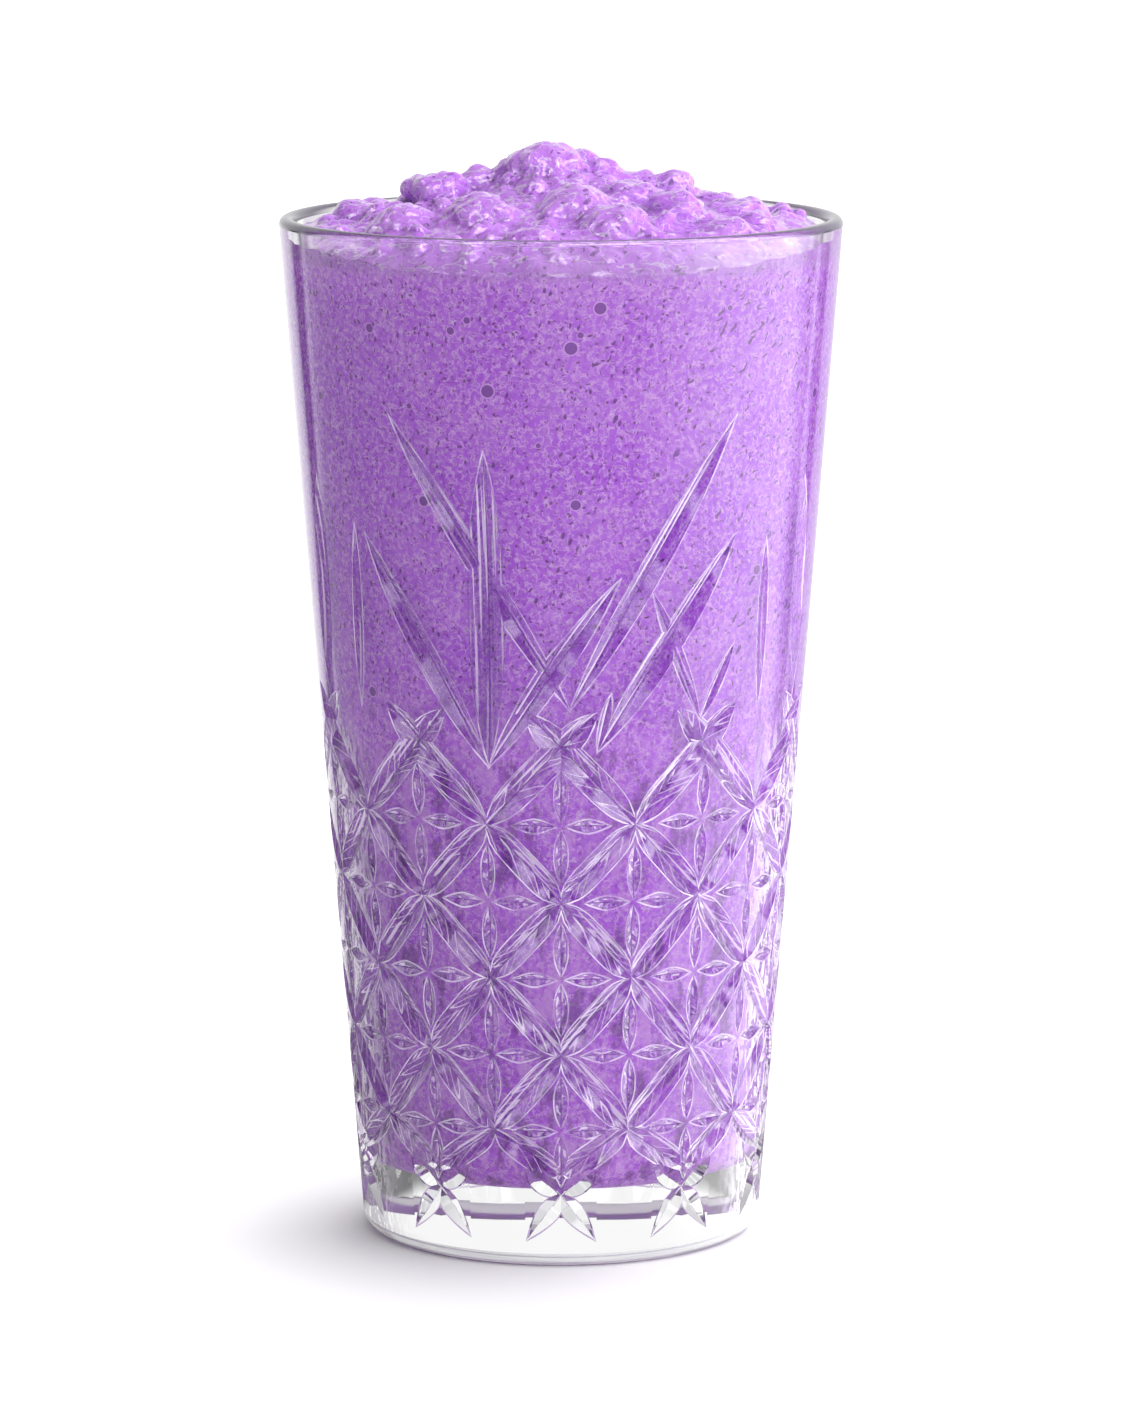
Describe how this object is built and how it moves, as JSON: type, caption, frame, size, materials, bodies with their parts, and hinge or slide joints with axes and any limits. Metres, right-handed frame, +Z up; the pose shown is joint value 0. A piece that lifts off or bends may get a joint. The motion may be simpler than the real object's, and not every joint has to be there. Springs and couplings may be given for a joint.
{
  "type": "milkshake in a cut-glass tumbler",
  "caption": "Thick purple milkshake heaped over the rim of a tapered, clear cut-glass tumbler with a heavy foot.",
  "frame": {"origin": "middle of the glass's foot, on the surface that it stands on", "axes": "+Z up through the glass; the fans of leaves face -Y"},
  "size_m": [0.0828, 0.0828, 0.1625],
  "materials": {
    "clear_glass": "polished, pressed",
    "purple_shake": "moist, finely porous"
  },
  "bodies": {
    "root": {"tumbler": "clear_glass", "milkshake": "purple_shake"}
  },
  "joints": []
}
